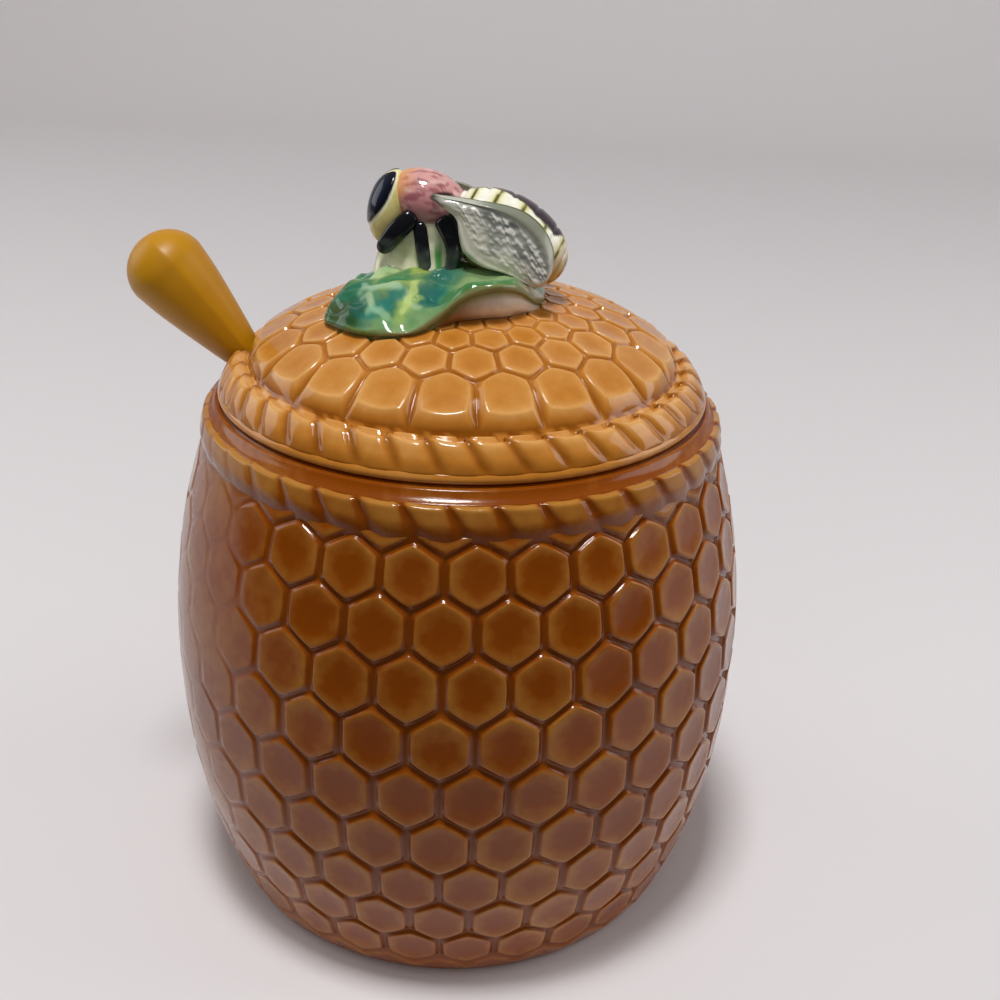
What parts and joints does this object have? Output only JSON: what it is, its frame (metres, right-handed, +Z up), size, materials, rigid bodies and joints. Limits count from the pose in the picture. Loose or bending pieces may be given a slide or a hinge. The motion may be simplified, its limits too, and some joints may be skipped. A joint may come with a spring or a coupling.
{
  "type": "honey pot",
  "caption": "Beehive-shaped ceramic honey pot with a lift-off domed lid, a bee on a leaf as its knob, and a dipper that leans out through a notch in the lid.",
  "frame": {"origin": "centre of the foot ring, on the surface that the pot stands on", "axes": "+Z up along the pot's own axis; -X towards the notch, the dipper's handle and the bee's head; +Y away from the side that shows the bee's left wing"},
  "size_m": [0.1077, 0.1, 0.1285],
  "materials": {
    "pot_glaze": "gloss",
    "lid_glaze": "gloss",
    "leaf_glaze": "gloss",
    "bee_glaze": "gloss",
    "wing_glaze": "gloss",
    "leg_glaze": "gloss",
    "amber_plastic": "gloss"
  },
  "bodies": {
    "pot": {"pot": "pot_glaze"},
    "lid": {"lid": "lid_glaze", "leaf": "leaf_glaze", "bee_body": "bee_glaze", "bee_left_wing": "wing_glaze", "bee_right_wing": "wing_glaze", "bee_left_legs": "leg_glaze", "bee_right_legs": "leg_glaze"},
    "dipper": {"dipper": "amber_plastic"}
  },
  "joints": [
    {"name": "lid_lift", "type": "slide", "parent": "pot", "child": "lid", "axis": [0, 0, 1], "range_m": [0, 0.075]},
    {"name": "dipper_slide", "type": "slide", "parent": "pot", "child": "dipper", "axis": [-0.6678, 0, 0.7443], "range_m": [0, 0.06]}
  ]
}
